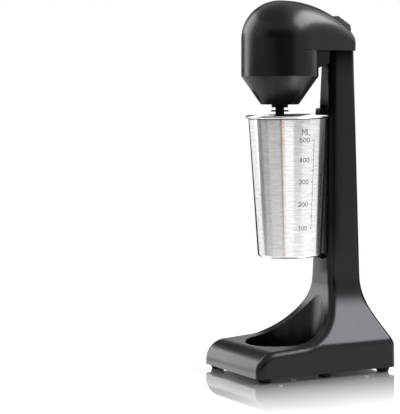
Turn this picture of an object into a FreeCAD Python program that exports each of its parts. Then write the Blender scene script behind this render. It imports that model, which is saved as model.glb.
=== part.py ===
"""Milkshake mixer: a drinks mixer on a swept stand, with a motor head, a whisk spindle and a steel cup.

Units are millimetres. +Z is up, the cup faces -Y, and the origin is on the surface the mixer
stands on, under the middle of its base. Each node is written to parts/NODE.step.
"""
import FreeCAD
import Part
import math
import os
from FreeCAD import Vector as V

os.makedirs("parts", exist_ok=True)

# ---------------------------------------------------------------- driving dimensions
# Overall
height = 396.5               # floor to the crown of the head
base_width = 122.0
base_length = 171.0
foot_height = 5.0            # the stand's bottom edge above the floor
spindle_from_front = 60.0    # spindle axis behind the front edge of the base

# Stand: outline seen from the side
wall = 3.0
edge_round = 7.5             # all four long corners, from the base up to the head
nose_height = 30.3           # top of the base at its front edge
nose_round = 22.0
tread_rise = 7.4             # rise of the base's top from the nose to the foot of the column
throat_low = 49.5            # spindle axis to the column's front, at the foot of the column
throat_high = 56.95          # the same under the head
throat_sweep = 60.0          # hollow between the base's top and the column's front
column_depth_low = 42.3      # column's front to its back, at its foot
column_depth_high = 31.5    # the same under the head
heel_top = 72.0
heel_sweep = 120.0
heel_height = 29.5
heel_round = 10.0

# Stand: outline seen from the front
side_draft = 0.7
shoulder_height = 33.5
shoulder_round = 12.0
hip_height = 83.0
hip_half = 21.95             # half the column's width at the top of the hip
hip_sweep = 65.0
column_half_top = 12.0       # half the column's width under the head

# Cup recess in the base
recess_radius = 40.7         # at the recess floor
recess_draft = 3.2           # degrees
recess_offset = 5.2          # recess axis behind the spindle axis
recess_floor = 22.0
recess_lip_round = 0.8

# Head
head_radius = 41.2
head_wall = 2.8
seam_tolerance = 0.01        # surfaces closer than this count as one where the arm joins the round head
arm_drop = 52.5              # crown to the underside of the arm
skirt_drop = 80.1            # crown to the seam between the head and the motor cone
crest_radius = 126.0         # fall of the arm's crest towards its back
crest_start = 3.0            # where that fall starts, behind the spindle axis
arm_lip_side = 1.8           # the arm's back end is this much wider than the column each side
arm_lip_back = 0.6
arm_end_round = 8.0
arm_edge_round = 1.0
cover_thickness = 2.6
cover_pad = 2.0              # thicker where the cover's screws are sunk
gusset_width = 15.6
gusset_drop_front = 19.7     # how far the gusset hangs below the arm, at the head
gusset_drop_back = 13.3      # the same at the column
fit = 0.25                   # clearance between moulded parts that fit into each other
gap = 0.3                    # clearance between pieces that move past each other

# Motor cone and collar
cone_height = 29.8
cone_tip_radius = 20.1
cone_wall = 2.5
cone_bore = 7.0
collar_radius = 8.8
collar_height = 3.2

# Spindle and whisk
sleeve_radius = 4.7
sleeve_length = 35.6         # below the collar
sleeve_engagement = 9.0      # how far the sleeve runs up inside the cone
shaft_radius = 3.0
rod_radius = 2.5
rod_end_drop = 135.0         # collar's bottom to the whisk's lower end
splash_disc_radius = 9.3
splash_disc_drop = 2.8       # collar's bottom to the top of the splash disc
splash_disc_thickness = 1.6
whisk_disc_radius = 9.5
whisk_disc_dish = 2.2
whisk_disc_thickness = 1.0
whisk_upper_drop = 102.6     # collar's bottom to the rim of the upper whisk disc
hub_radius = 3.9
hub_height = 5.2
journal_clearance = 0.05     # radial running clearance of the shaft

# Motor
motor_radius = 24.0
motor_bottom_rise = 18.1     # cone tip to the motor's bottom face
motor_length = 52.0
motor_wall = 1.6
bearing_radius = 8.0
bearing_width = 6.0
rotor_radius = 15.0
magnet_thickness = 6.0
fan_radius = 27.0

# Cup
cup_height = 151.0
cup_top_radius = 41.9        # outside, just under the rolled rim
cup_bottom_radius = 34.1
cup_wall = 0.8
cup_corner_round = 3.0
rim_bead_radius = 1.6
cup_hang_tilt = 1.1          # degrees, the hung cup's foot leans to the column
cup_rim_drop = 11.0           # cone tip to the top of the hung cup's rim
cup_column_gap = 1.0         # hung rim's back to the column's front
punt_depth = 1.2
punt_radius = 27.0

# Cup trigger and ledge
trigger_width = 19.0         # at the column
trigger_nose_width = 10.0
trigger_shoulder_round = 4.0
trigger_travel = 3.0
trigger_lip = 4.0            # how far the lip hangs inside the rim
trigger_lip_thickness = 2.6
trigger_lip_gap = 2.2        # lip to the rim's bead, for the cup to swing
trigger_height = 7.0         # above the rim
slot_half = 6.0
slider_thickness = 5.0
slider_half = 8.0
slider_drop = 11.0           # slider's lower end below the rim
slider_rise = 19.0           # slider's upper end above the rim
spring_side = 4.0            # spring and plunger, each side of the middle
spring_coil = 1.75
spring_wire = 0.35
spring_pin = 1.1
plunger_radius = 1.4
ledge_width = 10.0
ledge_under = 2.6            # how far the ledge reaches under the cup's foot
ledge_height = 5.0

# Switch on the arm
switch_back = 75.4           # switch's middle behind the spindle axis
rocker_length = 26.0
rocker_width = 12.0
rocker_proud = 3.9
rocker_land = 18.0           # flat on top of the rocker
rocker_tilt = 3.8            # degrees each way; drawn with its back end up
rocker_end_gap = 0.5
bezel_margin = 1.1
bezel_proud = 0.4
switch_depth = 13.0
pin_radius = 1.2
bezel_neck = 0.7             # thickness of the bezel's wall inside the arm
pivot_depth = -3.0           # rocker's pin, below the crest

# Feet, base plate and fasteners
foot_radius = 7.8
foot_toe_radius = 6.2
foot_side_inset = 9.5
foot_front_inset = 12.2
foot_back_inset = 12.5
plate_thickness = 2.5
spigot_radius = 3.0
boss_radius = 4.0
screw_radius = 1.5
screw_head_radius = 2.8
screw_head_height = 1.8
ballast_thickness = 6.0
column_web = 8.0
cone_screw_reach = 14.5      # cone screws from the spindle axis
grommet_radius = 5.5
grommet_height = 17.0
cord_hole_radius = 3.4

# ---------------------------------------------------------------- places worked out from them
front_y = -base_length / 2
back_y = base_length / 2
spindle_y = front_y + spindle_from_front
arm_z = height - arm_drop
skirt_z = height - skirt_drop
dome_z = height - head_radius
cone_z = skirt_z - cone_height
collar_z = cone_z - collar_height
rim_z = cone_z - cup_rim_drop
throat_z = nose_height + tread_rise
arm_back_y = spindle_y + throat_high + column_depth_high + arm_lip_back
arm_half = column_half_top + arm_lip_side
arm_length = arm_back_y - spindle_y
plate_top = foot_height + plate_thickness
motor_z = cone_z + motor_bottom_rise
motor_top = motor_z + motor_length
axis = V(0, 0, 1)


def save(name, shape):
    """Write one node."""
    if not shape.isValid():
        print("INVALID", name)
    shape.exportStep("parts/%s.step" % name)


# ---------------------------------------------------------------- small helpers
def box(x0, x1, y0, y1, z0, z1):
    return Part.makeBox(x1 - x0, y1 - y0, z1 - z0, V(x0, y0, z0))


def rod(radius, x, y, z0, z1):
    return Part.makeCylinder(radius, z1 - z0, V(x, y, z0))


def ring(outer, inner, x, y, z0, z1):
    return rod(outer, x, y, z0, z1).cut(rod(inner, x, y, z0 - 1, z1 + 1))


def corner_arc(p, a, b, radius):
    """Start, middle and end of the arc that rounds the corner at p between a and b."""
    to_a = (a - p).normalize()
    to_b = (b - p).normalize()
    half = to_a.getAngle(to_b) / 2
    reach = radius / math.tan(half)
    inwards = (to_a + to_b).normalize()
    centre = p + inwards * (radius / math.sin(half))
    return p + to_a * reach, centre - inwards * radius, p + to_b * reach


def outline(points, place):
    """Closed face through (across, up, corner radius) points; place turns the first two into a vector."""
    at = [place(h, v) for h, v, r in points]
    count = len(points)
    bends = []
    for i, (h, v, r) in enumerate(points):
        if r:
            bends.append(corner_arc(at[i], at[i - 1], at[(i + 1) % count], r))
        else:
            bends.append((at[i], None, at[i]))
    edges = []
    for i, (start, middle, end) in enumerate(bends):
        if middle is not None:
            edges.append(Part.Arc(start, middle, end).toShape())
        following = bends[(i + 1) % count][0]
        if (following - end).Length > 1e-6:
            edges.append(Part.makeLine(end, following))
    return Part.Face(Part.Wire(edges))


def in_xz(across, up):
    return V(across, 0, up)


def in_yz(across, up):
    return V(0, across, up)


def in_xy(across, along):
    return V(across, along, 0)


def prism_y(face, y0, y1):
    solid = face.extrude(V(0, y1 - y0, 0))
    solid.translate(V(0, y0, 0))
    return solid


def prism_x(face, half):
    solid = face.extrude(V(2 * half, 0, 0))
    solid.translate(V(-half, 0, 0))
    return solid


def prism_z(face, z0, z1):
    solid = face.extrude(V(0, 0, z1 - z0))
    solid.translate(V(0, 0, z0))
    return solid


def turned(points, x, y, angle=360):
    """Solid of revolution of (radius, height, corner radius) points about a vertical axis."""
    solid = outline(points, in_xz).revolve(V(0, 0, 0), axis, angle)
    solid.translate(V(x, y, 0))
    return solid


def fuse(*shapes):
    return shapes[0].multiFuse(list(shapes[1:])).removeSplitter()


def compound(shapes):
    return Part.makeCompound(shapes)


def pan_screw(x, y, head_z, length, up=True):
    """Pan-head screw on a vertical axis; its shank points up, or down."""
    way = 1 if up else -1
    head = Part.makeCylinder(screw_head_radius, screw_head_height, V(x, y, head_z), V(0, 0, -way))
    shank = Part.makeCylinder(screw_radius, length, V(x, y, head_z), V(0, 0, way))
    slot = Part.makeBox(1.0, 3.2, 1.0, V(x - 0.5, y - 1.6, head_z - way * screw_head_height - 0.5))
    return head.cut(slot).fuse(shank).removeSplitter()


def column_front(z):
    """Y of the column's front face at a height."""
    share = (z - throat_z) / (arm_z - throat_z)
    return spindle_y + throat_low + share * (throat_high - throat_low)


def column_back(z):
    low = spindle_y + throat_low + column_depth_low
    high = spindle_y + throat_high + column_depth_high
    return low + (z - heel_top) / (arm_z - heel_top) * (high - low)


def column_half(z):
    share = (z - hip_height) / (arm_z - hip_height)
    return hip_half + share * (column_half_top - hip_half)


# ---------------------------------------------------------------- stand
def stand_profiles():
    half = base_width / 2
    side = [(half, foot_height, 0), (half - side_draft, shoulder_height, shoulder_round),
            (hip_half, hip_height, hip_sweep), (column_half_top, arm_z, 0)]
    side += [(-h, v, r) for h, v, r in reversed(side)]
    length = [(front_y, foot_height, 0), (front_y, nose_height, nose_round),
              (spindle_y + throat_low, throat_z, throat_sweep), (column_front(arm_z), arm_z, 0),
              (column_back(arm_z), arm_z, 0), (column_back(heel_top), heel_top, heel_sweep),
              (back_y, heel_height, heel_round), (back_y, foot_height, 0)]
    return outline(side, in_xz), outline(length, in_yz)


def stand_form(inset):
    """Body swept in both views: where the outline from the front meets the one from the side."""
    side, length = stand_profiles()
    if inset:
        side = side.makeOffset2D(-inset)
        length = length.makeOffset2D(-inset)
    across = prism_y(side, 2 * front_y, 2 * back_y)
    along = prism_x(length, base_width)
    return across.common(along).removeSplitter()


def ridges(solid):
    """Edges where the side surfaces meet the front, top and back ones."""
    found = []
    for edge in solid.Edges:
        if edge.BoundBox.ZLength < 1e-6 and edge.BoundBox.XLength > 1.0:
            continue
        faces = solid.ancestorsOfType(edge, Part.Face)
        middle = edge.valueAt((edge.FirstParameter + edge.LastParameter) / 2)
        normals = [face.normalAt(*face.Surface.parameter(middle)) for face in faces]
        level = abs(edge.BoundBox.ZMax - arm_z) < 1e-6 and edge.BoundBox.ZLength < 1e-6
        low = abs(edge.BoundBox.ZMin - foot_height) < 1e-6 and edge.BoundBox.ZLength < 1e-6
        if not level and not low and normals[0].getAngle(normals[1]) > math.radians(20):
            found.append(edge)
    return found


def recess(extra):
    """Tapered pocket that the cup's foot stands in; extra makes it larger all round."""
    top = throat_z + 0.9 * throat_sweep
    grown = recess_radius + (top - recess_floor) * math.tan(math.radians(recess_draft))
    cone = Part.makeCone(recess_radius + extra, grown + extra, top - recess_floor + extra,
                         V(0, spindle_y + recess_offset, recess_floor - extra))
    return cone


def boss_places():
    """Base screw bosses, between the feet."""
    x = base_width / 2 - foot_side_inset - 1.5
    return [(sx * x, y) for sx in (-1, 1) for y in (front_y + 32.0, back_y - 32.0)]


def board_posts():
    return [(0, board_z + 5.0), (0, board_z + board_height - 5.0)]


board_z = foot_height + 170.0
board_height = 62.0
board_half = 9.0
board_thickness = 1.6
board_y = column_back(board_z + board_height) - wall - 6.0


def stand_outside():
    outer = stand_form(0)
    return outer.makeFillet(edge_round, ridges(outer))


def recess_edges(solid):
    """Edges where the cup recess breaks through the top of the base."""
    found = []
    for face in solid.Faces:
        if isinstance(face.Surface, Part.Cone):
            found += [edge for edge in face.Edges if edge.BoundBox.ZMax > recess_floor + 1
                      and edge.Length > 1.0 and not edge.isSeam(face)]
    return found


def stand_housing():
    outer = stand_outside()
    body = outer.cut(recess(0)).removeSplitter()
    body = body.makeFillet(recess_lip_round, recess_edges(body))
    inner = stand_form(wall).cut(recess(wall))
    inner = inner.fuse(opening_under()).removeSplitter()
    shell = body.cut(inner)
    for x, y in boss_places():
        post = rod(boss_radius, x, y, plate_top, heel_top).common(outer)
        shell = shell.fuse(post.cut(rod(screw_radius, x, y, 0, plate_top + 9.0)))
    for x, z in board_posts():
        post = Part.makeCylinder(2.6, 30.0, V(x, board_y + board_thickness, z), V(0, 1, 0)).common(outer)
        hole = Part.makeCylinder(1.0, 5.0, V(x, board_y, z), V(0, 1, 0))
        shell = shell.fuse(post.cut(hole))
    top_web = box(-30, 30, column_front(arm_z) + 0.5, column_back(arm_z) - 0.5, arm_z - column_web, arm_z)
    shell = shell.fuse(top_web.common(outer))
    shell = shell.cut(rod(4.5, 0, column_middle(), arm_z - column_web - 1, arm_z + 1))
    for x, y in column_screw_places():
        shell = shell.cut(rod(screw_radius, x, y, arm_z - 12.0, arm_z + 1))
    shell = shell.fuse(ledge())
    slot_low = rim_z + 0.6
    slot_high = rim_z + trigger_height + trigger_travel + gap
    shell = shell.cut(box(-slot_half, slot_half, column_front(rim_z) - 2, column_front(rim_z) + wall + 3,
                          slot_low, slot_high))
    gland = Part.makeCylinder(grommet_radius, 12, V(0, back_y - 8, grommet_height), V(0, 1, 0))
    return shell.cut(gland).removeSplitter()


def opening_under():
    """Extends the hollow down through the open bottom of the stand."""
    low = foot_height + wall
    half = base_width / 2 - wall
    return box(-half, half, front_y + wall, back_y - wall, foot_height - 1, low + 0.05)


def column_middle():
    return (column_front(arm_z) + column_back(arm_z)) / 2


def column_screw_places():
    x = column_half_top - 4.6
    return [(sx * x, column_middle() + sy * 9.5) for sx in (-1, 1) for sy in (-1, 1)]


def ledge():
    """Small bracket on the column that the foot of the hung cup stands on."""
    z = ledge_top()
    face = column_front(z)
    lean = math.radians(cup_hang_tilt)
    foot_back = bead_y() - bead_reach() + cup_height * math.sin(lean) + cup_bottom_radius * math.cos(lean)
    tip = foot_back - ledge_under
    points = [(tip, z, 0.6), (face + 1.5, z, 0), (face + 1.5, z - ledge_height - 1.5, 0),
              (tip, z - ledge_height + 1.5, 3.0)]
    return prism_x(outline(points, in_yz), ledge_width / 2)


def ledge_top():
    """The ledge meets the round corner of the cup's foot."""
    return rim_z - cup_height + 0.7


# ---------------------------------------------------------------- head
def taper_angle(radius, half, length):
    """Angle of the line that leaves a circle and ends at (half, length)."""
    return math.asin(radius / math.hypot(half, length)) - math.atan2(half, length)


def crest(t, inset):
    fall = 0.0
    if t > crest_start:
        fall = crest_radius - math.sqrt(crest_radius ** 2 - (t - crest_start) ** 2)
    return height - inset - fall


def arm_section(t, inset, bottom):
    """Upright sides under a half-round top, t behind the spindle axis."""
    radius = head_radius - inset
    lean = taper_angle(radius, arm_half - inset, arm_length - inset)
    if t <= radius * math.sin(lean):
        half = math.sqrt(radius ** 2 - t ** 2)
    else:
        half = (radius - t * math.sin(lean)) / math.cos(lean)
    top = crest(t, inset)
    y = spindle_y + t
    left_low = V(-half, y, bottom)
    right_low = V(half, y, bottom)
    left = V(-half, y, top - half)
    right = V(half, y, top - half)
    round_top = Part.Arc(right, V(0, y, top), left).toShape()
    return Part.Wire([Part.makeLine(left_low, right_low), Part.makeLine(right_low, right), round_top,
                      Part.makeLine(left, left_low)])


def arm_form(inset, bottom):
    end = arm_length - inset
    lean = taper_angle(head_radius - inset, arm_half - inset, end)
    touch = (head_radius - inset) * math.sin(lean)
    stations = [0, touch * 0.4, touch * 0.8]
    stations += [touch + (end - touch) * share for share in (0.12, 0.3, 0.5, 0.7, 0.86, 1.0)]
    return Part.makeLoft([arm_section(t, inset, bottom) for t in stations], True)


def arm_solid(inset):
    """Outside of the arm with its back end rounded; a negative inset makes it larger."""
    arm = arm_form(inset, arm_z)
    end = spindle_y + arm_length - inset
    back = [edge for edge in arm.Edges
            if abs(edge.BoundBox.YMin - end) < 0.1 and edge.BoundBox.ZMax > arm_z + 1]
    arm = arm.makeFillet(arm_end_round - inset, back)
    low = [edge for edge in arm.Edges if edge.BoundBox.ZMax < arm_z + 0.01 and edge.BoundBox.YMax > spindle_y + 1]
    return arm.makeFillet(arm_edge_round, low)


def dome_front(inset, bottom):
    """The round head less its back upper half, where the arm takes over."""
    radius = head_radius - inset
    centre = V(0, spindle_y, dome_z)
    ball = Part.makeSphere(radius, centre, V(0, -1, 1))
    crown = ball.common(box(-100, 100, spindle_y - 100, spindle_y, dome_z, height + 10))
    drum = rod(radius, 0, spindle_y, bottom, dome_z)
    return crown.fuse(drum.cut(box(-100, 100, spindle_y, spindle_y + 100, arm_z, height)))


def head_housing():
    outer = dome_front(0, skirt_z).fuse((arm_solid(0),), seam_tolerance).removeSplitter()
    shell = outer.cut(dome_front(head_wall, skirt_z - 1)).cut(arm_form(head_wall, arm_z))
    for x, y in motor_boss_places():
        post = rod(boss_radius, x, y, motor_plate_z() + 3.0, dome_z + 12).common(outer)
        shell = shell.fuse(post.cut(rod(screw_radius, x, y, skirt_z, motor_plate_z() + 11)))
    for x, y in cover_screw_places():
        low = arm_z + cover_thickness + cover_pad
        post = rod(3.4, x, y, low, height).common(outer)
        shell = shell.fuse(post.cut(rod(screw_radius, x, y, arm_z, low + 7)))
    return shell.cut(on_crest(switch_opening(bezel_neck + 0.1, -8, 12))).removeSplitter()


def motor_plate_z():
    return skirt_z + 6.0


def motor_boss_places():
    reach = head_radius - head_wall - boss_radius + 0.6
    turns = (45, 135, 225, 315)
    return [(reach * math.cos(math.radians(a)), spindle_y + reach * math.sin(math.radians(a)))
            for a in turns]


def cover_screw_places():
    y = column_front(arm_z) - 4.0
    half = (head_radius + arm_half) / 2 - 10.0
    return [(-half, y), (half, y)]


def arm_cover():
    """Plate that closes the arm from below, with the gusset between the head and the column."""
    plate = arm_form(head_wall + fit, arm_z).common(box(-100, 100, -200, 200, arm_z, arm_z + cover_thickness))
    plate = plate.cut(rod(head_radius + fit, 0, spindle_y, arm_z - 1, arm_z + 10))
    head_back = spindle_y + math.sqrt(head_radius ** 2 - (gusset_width / 2) ** 2)
    column = column_front(arm_z)
    slope = (gusset_drop_front - gusset_drop_back) / (column - spindle_y - head_radius)
    points = [(head_back - 3, arm_z, 0), (head_back - 3, arm_z - gusset_drop_front - 3 * slope, 0),
              (column + 1.5, arm_z - gusset_drop_back + 1.5 * slope, 0), (column + 1.5, arm_z, 0)]
    web = prism_x(outline(points, in_yz), gusset_width / 2)
    web = web.cut(rod(head_radius, 0, spindle_y, skirt_z, arm_z + 1)).cut(stand_outside())
    cover = plate.fuse(web)
    cover = cover.cut(rod(4.5, 0, column_middle(), arm_z - 1, arm_z + 10))
    for x, y in column_screw_places():
        cover = cover.cut(rod(screw_radius + 0.2, x, y, arm_z - 1, arm_z + 10))
    for x, y in cover_screw_places():
        cover = cover.fuse(rod(4.4, x, y, arm_z + cover_thickness, arm_z + cover_thickness + cover_pad))
        cover = cover.cut(rod(screw_radius + 0.2, x, y, arm_z - 1, arm_z + 10))
        cover = cover.cut(rod(screw_head_radius + 0.3, x, y, arm_z - 1, arm_z + cover_pad))
    return cover.removeSplitter()


def motor_cone():
    """Lower cover of the head; its rim fits up inside the skirt."""
    rim = head_radius - head_wall - fit
    slope = (head_radius - cone_tip_radius) / cone_height
    outer = [(cone_bore, cone_z), (cone_tip_radius, cone_z), (head_radius, skirt_z), (rim, skirt_z),
             (rim, skirt_z + 4.0), (rim - 2.0, skirt_z + 4.0), (rim - 2.0, skirt_z - 1.0),
             (cone_tip_radius - 1.5, cone_z + cone_wall + 1.5 * slope), (cone_bore, cone_z + cone_wall)]
    cone = turned([(r, z, 0) for r, z in outer], 0, spindle_y)
    for x, y in cone_screw_places():
        cone = cone.fuse(rod(3.4, x, y, cone_z, motor_z))
    for x, y in cone_screw_places():
        cone = cone.cut(rod(screw_radius + 0.2, x, y, cone_z - 1, motor_z + 1))
        cone = cone.cut(rod(screw_head_radius + 0.3, x, y, cone_z - 1, cone_z + screw_head_height + 0.2))
    return cone.removeSplitter()


def cone_screw_places():
    turns = (30, 150, 270)
    return [(cone_screw_reach * math.cos(math.radians(a)),
             spindle_y + cone_screw_reach * math.sin(math.radians(a))) for a in turns]


def neck_collar():
    bore = sleeve_radius + gap
    points = [(bore, collar_z), (collar_radius, collar_z), (collar_radius, cone_z),
              (cone_bore - fit / 5, cone_z), (cone_bore - fit / 5, cone_z + cone_wall + 0.8),
              (bore, cone_z + cone_wall + 0.8)]
    return turned([(r, z, 0) for r, z in points], 0, spindle_y)


# ---------------------------------------------------------------- motor
def motor_parts():
    x, y = 0, spindle_y
    boss_low = motor_z - bearing_width
    bore = bearing_radius
    can = turned([(r, z, 0) for r, z in [
        (bore + 2, boss_low), (bore + 2, motor_z), (motor_radius, motor_z), (motor_radius, motor_top - 4),
        (motor_radius - motor_wall, motor_top - 4), (motor_radius - motor_wall, motor_z + motor_wall),
        (bore, motor_z + motor_wall), (bore, boss_low + 0.8), (shaft_radius + 1.0, boss_low + 0.8),
        (shaft_radius + 1.0, boss_low)]], x, y)
    for sx, sy in cone_screw_places():
        can = can.cut(rod(screw_radius, sx, sy, motor_z - 1, motor_z + 3))
    cap_top = motor_top + 3.0
    cap = turned([(r, z, 0) for r, z in [
        (bore, motor_top - 1.0), (motor_radius - motor_wall - 0.1, motor_top - 1.0),
        (motor_radius - motor_wall - 0.1, motor_top - 4), (motor_radius, motor_top - 4),
        (motor_radius, motor_top), (bore + 2, motor_top), (bore + 2, cap_top),
        (shaft_radius + 1.0, cap_top), (shaft_radius + 1.0, cap_top - 0.8), (bore, cap_top - 0.8)]], x, y)
    outer = motor_radius - motor_wall
    tube = ring(outer, outer - magnet_thickness, x, y, motor_z + 9, motor_top - 15)
    split = box(-2, 2, y - 40, y + 40, 0, height)
    inner_race = shaft_radius
    lower = ring(bearing_radius, inner_race, x, y, boss_low + 0.8, boss_low + 0.8 + bearing_width - 1.5)
    upper = ring(bearing_radius, inner_race, x, y, cap_top - 0.8 - bearing_width + 1.5, cap_top - 0.8)
    plate_z = motor_plate_z()
    plate = ring(head_radius - head_wall - 0.6, motor_radius, x, y, plate_z, plate_z + 3.0)
    for px, py in motor_boss_places():
        plate = plate.cut(rod(screw_radius + 0.2, px, py, plate_z - 1, plate_z + 4))
    return {"motor_can": can, "motor_end_cap": cap, "field_magnets": tube.cut(split),
            "lower_bearing": lower, "upper_bearing": upper, "motor_plate": plate}


def laminated_rotor():
    """Twelve-slot armature core."""
    x, y = 0, spindle_y
    low = motor_z + 10.0
    high = motor_top - 16.0
    core = rod(rotor_radius, x, y, low, high).cut(rod(shaft_radius, x, y, low - 1, high + 1))
    slot = box(-1.2, 1.2, rotor_radius - 6.5, rotor_radius + 1, low - 1, high + 1)
    for k in range(12):
        cut = slot.copy()
        cut.rotate(V(0, 0, 0), axis, 30 * k + 15)
        cut.translate(V(x, y, 0))
        core = core.cut(cut)
    return core


def cooling_fan():
    x, y = 0, spindle_y
    low = motor_top + 4.5
    hub = ring(7.0, shaft_radius, x, y, low, low + 8.0)
    disc = ring(fan_radius, 6.5, x, y, low, low + 1.2)
    blade = box(-0.6, 0.6, 6.5, fan_radius, low + 1.2, low + 7.0)
    blades = []
    for k in range(9):
        one = blade.copy()
        one.rotate(V(0, 0, 0), axis, 40 * k)
        one.translate(V(x, y, 0))
        blades.append(one)
    return fuse(hub, disc, *blades)


def brushes():
    """Carbon brushes bearing on the commutator from both sides."""
    z = motor_top - 9.0
    reach = commutator_radius + 0.05
    pair = []
    for side in (-1, 1):
        x0 = min(side * reach, side * (motor_radius - motor_wall - 1.0))
        x1 = max(side * reach, side * (motor_radius - motor_wall - 1.0))
        block = box(x0, x1, spindle_y - 2.2, spindle_y + 2.2, z - 3, z + 3)
        pair.append(block)
    return compound(pair)


commutator_radius = 7.5


def brush_holders():
    """Holders that slide over the brushes, under the end cap."""
    z = motor_top - 9.0
    pair = []
    for side in (-1, 1):
        near = commutator_radius + 2.0
        far = motor_radius - motor_wall - 0.3
        x0, x1 = sorted((side * near, side * far))
        outer = box(x0, x1, spindle_y - 3.6, spindle_y + 3.6, z - 4.4, motor_top - 4.0)
        inner = box(x0 - 1, x1 + 1, spindle_y - 2.25, spindle_y + 2.25, z - 3.05, z + 3.05)
        pair.append(outer.cut(inner))
    return compound(pair)


# ---------------------------------------------------------------- spindle and whisk
shaft_end = collar_z - 13.0
rod_start = collar_z - 19.0
rod_end = collar_z - rod_end_drop


def spindle_shaft():
    journal = shaft_radius - journal_clearance
    top = motor_top + 13.5
    shaft = rod(shaft_radius, 0, spindle_y, shaft_end, top)
    for z0 in (motor_z - bearing_width + 0.8, motor_top + 3.0 - 0.8 - bearing_width + 1.5):
        band = ring(shaft_radius + 1, journal, 0, spindle_y, z0 - 0.4, z0 + bearing_width - 1.1)
        shaft = shaft.cut(band)
    return shaft


def spindle_sleeve():
    low = collar_z - sleeve_length
    high = collar_z + sleeve_engagement
    sleeve = turned([(0, low, 0), (sleeve_radius - 0.8, low, 0), (sleeve_radius, low + 1.6, 0),
                     (sleeve_radius, high, 0), (0, high, 0)], 0, spindle_y)
    sleeve = sleeve.cut(rod(shaft_radius, 0, spindle_y, shaft_end, high + 1))
    return sleeve.cut(rod(rod_radius, 0, spindle_y, low - 1, rod_start))


def agitator_rod():
    return turned([(0, rod_end, 0), (rod_radius - 0.6, rod_end, 0), (rod_radius, rod_end + 0.8, 0),
                   (rod_radius, rod_start, 0), (0, rod_start, 0)], 0, spindle_y)


def dished_disc(rim_height, bore, sign):
    """Thin disc with a flat rim and a raised middle."""
    r = whisk_disc_radius
    t = whisk_disc_thickness
    d = sign * whisk_disc_dish
    z = rim_height
    points = [(bore, z + d), (hub_radius + 0.6, z + d), (r - 2.4, z), (r, z), (r, z - t), (r - 2.7, z - t),
              (hub_radius + 0.3, z + d - t), (bore, z + d - t)]
    return turned([(a, b, 0) for a, b in points], 0, spindle_y)


def whisk_discs():
    """Upper disc under its hub, and the lower disc with wave-cut edge near the end of the rod."""
    z_upper = collar_z - whisk_upper_drop
    upper = dished_disc(z_upper, rod_radius, 1)
    low = z_upper + whisk_disc_dish
    hub = turned([(rod_radius, low, 0), (hub_radius, low, 0), (hub_radius, low + hub_height - 1, 0),
                  (hub_radius - 1, low + hub_height, 0), (rod_radius, low + hub_height, 0)], 0, spindle_y)
    z_lower = rod_end + 7.0
    lower = dished_disc(z_lower, rod_radius, -1)
    for k in range(6):
        a = math.radians(60 * k)
        reach = whisk_disc_radius + 0.9
        lower = lower.cut(rod(2.2, reach * math.cos(a), spindle_y + reach * math.sin(a),
                              z_lower - 5, z_lower + 5))
    nut_top = z_lower - whisk_disc_dish - whisk_disc_thickness
    nut = turned([(rod_radius, nut_top - 3.0, 0), (hub_radius - 0.8, nut_top - 3.0, 0),
                  (hub_radius, nut_top - 2.0, 0), (hub_radius, nut_top, 0), (rod_radius, nut_top, 0)],
                 0, spindle_y)
    return {"whisk_disc_upper": upper, "whisk_hub": hub, "whisk_disc_lower": lower, "whisk_nut": nut}


def splash_disc():
    top = collar_z - splash_disc_drop
    points = [(sleeve_radius, top - splash_disc_thickness), (splash_disc_radius, top - splash_disc_thickness),
              (splash_disc_radius, top), (sleeve_radius, top)]
    return turned([(r, z, 0) for r, z in points], 0, spindle_y)


# ---------------------------------------------------------------- cup
def hung(solid):
    """Moves a solid from the cup's own frame, foot at the origin, to where the cup hangs."""
    solid.rotate(V(0, 0, cup_height), V(1, 0, 0), cup_hang_tilt)
    solid.translate(V(0, bead_y() - bead_reach(), rim_z - cup_height))
    return solid


def mixing_cup():
    bead_z = cup_height - rim_bead_radius
    outer = outline([(0, 0, 0), (cup_bottom_radius, 0, cup_corner_round), (cup_top_radius, bead_z, 0),
                     (0, bead_z, 0)], in_xz).revolve(V(0, 0, 0), axis, 360)
    inner = outline([(0, cup_wall, 0), (cup_bottom_radius - cup_wall, cup_wall, cup_corner_round - cup_wall),
                     (cup_top_radius - cup_wall, bead_z + 1, 0), (0, bead_z + 1, 0)],
                    in_xz).revolve(V(0, 0, 0), axis, 360)
    bead = Part.makeTorus(bead_reach(), rim_bead_radius, V(0, 0, bead_z))
    punt = Part.makeCone(punt_radius, punt_radius - punt_depth, punt_depth)
    plug = Part.makeCone(punt_radius + cup_wall, punt_radius - punt_depth + cup_wall, punt_depth + cup_wall)
    shell = outer.cut(inner).fuse(plug).fuse(bead)
    return hung(shell.cut(punt).removeSplitter())


# ---------------------------------------------------------------- cup trigger
def trigger_faces():
    """Y of the slider's front and back faces, inside the column."""
    slider_front = column_front(rim_z + slider_rise + trigger_travel) + wall + 0.5
    return slider_front, slider_front + slider_thickness


def guide_top():
    return rim_z + slider_rise + 12.5


def rim_rise():
    """How far the tilt lifts the hung rim at its back."""
    return (cup_top_radius + rim_bead_radius) * math.sin(math.radians(cup_hang_tilt))


def bead_reach():
    """Middle of the rolled rim from the cup's axis."""
    return cup_top_radius + rim_bead_radius - cup_wall / 2


def bead_y():
    """Y of the rolled rim's middle, at the back of the hung cup."""
    return column_front(rim_z) - cup_column_gap - rim_bead_radius


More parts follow.
